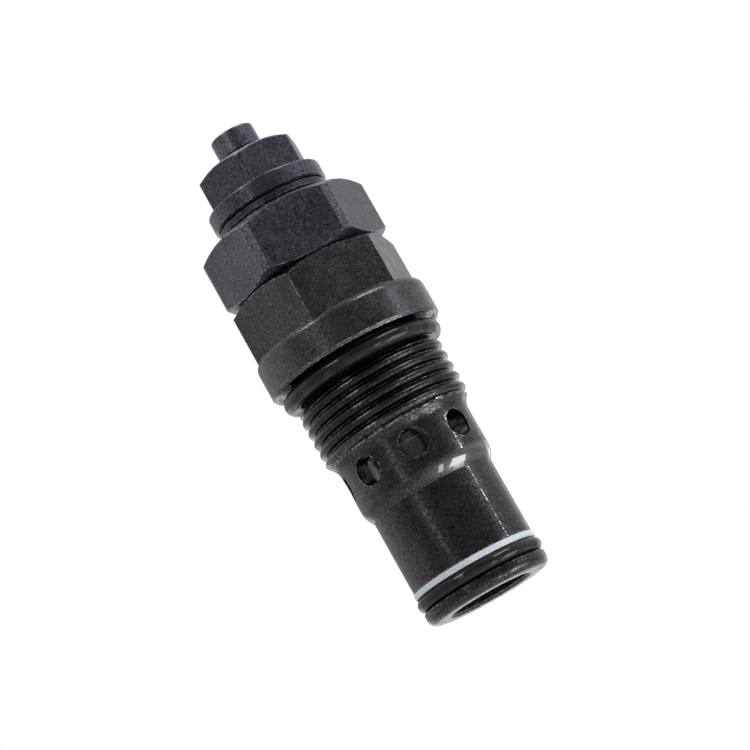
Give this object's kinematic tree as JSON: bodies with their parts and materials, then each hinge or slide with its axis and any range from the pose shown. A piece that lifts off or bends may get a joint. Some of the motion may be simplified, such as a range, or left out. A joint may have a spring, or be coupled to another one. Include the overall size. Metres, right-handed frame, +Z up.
{
  "type": "cartridge valve",
  "caption": "Screw-in hydraulic pressure relief cartridge valve: adjusting screw with lock nut, hex cap, hex body, O-ring port thread, radial outlet ports and an open inlet nose.",
  "frame": {"origin": "on the valve's axis, level with the collar's underside, which seats on the manifold's face", "axes": "+Z up the valve's axis, out of the manifold towards the adjusting screw; -Z into the cavity; -Y is the side that faces the viewer"},
  "size_m": [0.0315, 0.0314, 0.09],
  "materials": {
    "black_steel": "black oxide, lightly oiled",
    "dark_washer": "blackened, matt",
    "black_rubber": "oiled nitrile rubber",
    "white_ptfe": "matt PTFE",
    "ground_steel": "hardened and ground",
    "spring_steel": "oil-tempered wire",
    "brass": "turned brass"
  },
  "bodies": {
    "cartridge": {"valve_body": "black_steel", "adjuster_cap": "black_steel", "port_o_ring": "black_rubber", "nose_o_ring": "black_rubber", "nose_backup_ring": "white_ptfe", "main_seat_sleeve": "ground_steel", "main_spring": "spring_steel", "pilot_plug": "ground_steel", "pilot_plug_o_ring": "black_rubber", "pilot_seat": "ground_steel", "pilot_spring": "spring_steel", "cap_o_ring": "black_rubber"},
    "poppet": {"main_poppet": "ground_steel", "damping_orifice": "brass"},
    "pilot_cone": {"pilot_poppet": "ground_steel"},
    "plunger": {"spring_plunger": "ground_steel", "plunger_o_ring": "black_rubber", "plunger_backup_ring": "white_ptfe"},
    "screw": {"adjusting_screw": "black_steel", "screw_stop_ring": "spring_steel"},
    "washer": {"seal_washer": "dark_washer"},
    "nut": {"lock_nut": "black_steel"}
  },
  "joints": [
    {"name": "main_poppet_lift", "type": "slide", "parent": "cartridge", "child": "poppet", "axis": [0, 0, 1], "range_m": [0, 0.003], "stiffness_N_per_m": 2800, "springref_m": -0.004, "deforming": ["main_spring"]},
    {"name": "pilot_cone_lift", "type": "slide", "parent": "cartridge", "child": "pilot_cone", "axis": [0, 0, 1], "range_m": [0, 0.0008], "stiffness_N_per_m": 27500, "springref_m": -0.0015},
    {"name": "adjuster_travel", "type": "slide", "parent": "cartridge", "child": "plunger", "axis": [0, 0, 1], "range_m": [-0.003, 0.002], "deforming": ["pilot_spring"]},
    {"name": "adjuster_turn", "type": "hinge", "parent": "plunger", "child": "screw", "pos_m": [0, 0, 0.03], "axis": [0, 0, 1], "range_deg": [-1080, 720]},
    {"name": "lock_nut_lift", "type": "slide", "parent": "cartridge", "child": "washer", "axis": [0, 0, 1], "range_m": [0, 0.002]},
    {"name": "lock_nut_turn", "type": "hinge", "parent": "washer", "child": "nut", "pos_m": [0, 0, 0.034], "axis": [0, 0, 1], "range_deg": [0, 720]}
  ],
  "couplings": [
    {"joint": "adjuster_travel", "follows": "adjuster_turn", "m_per_rad": 0.00015915},
    {"joint": "lock_nut_lift", "follows": "lock_nut_turn", "m_per_rad": 0.00015915}
  ]
}
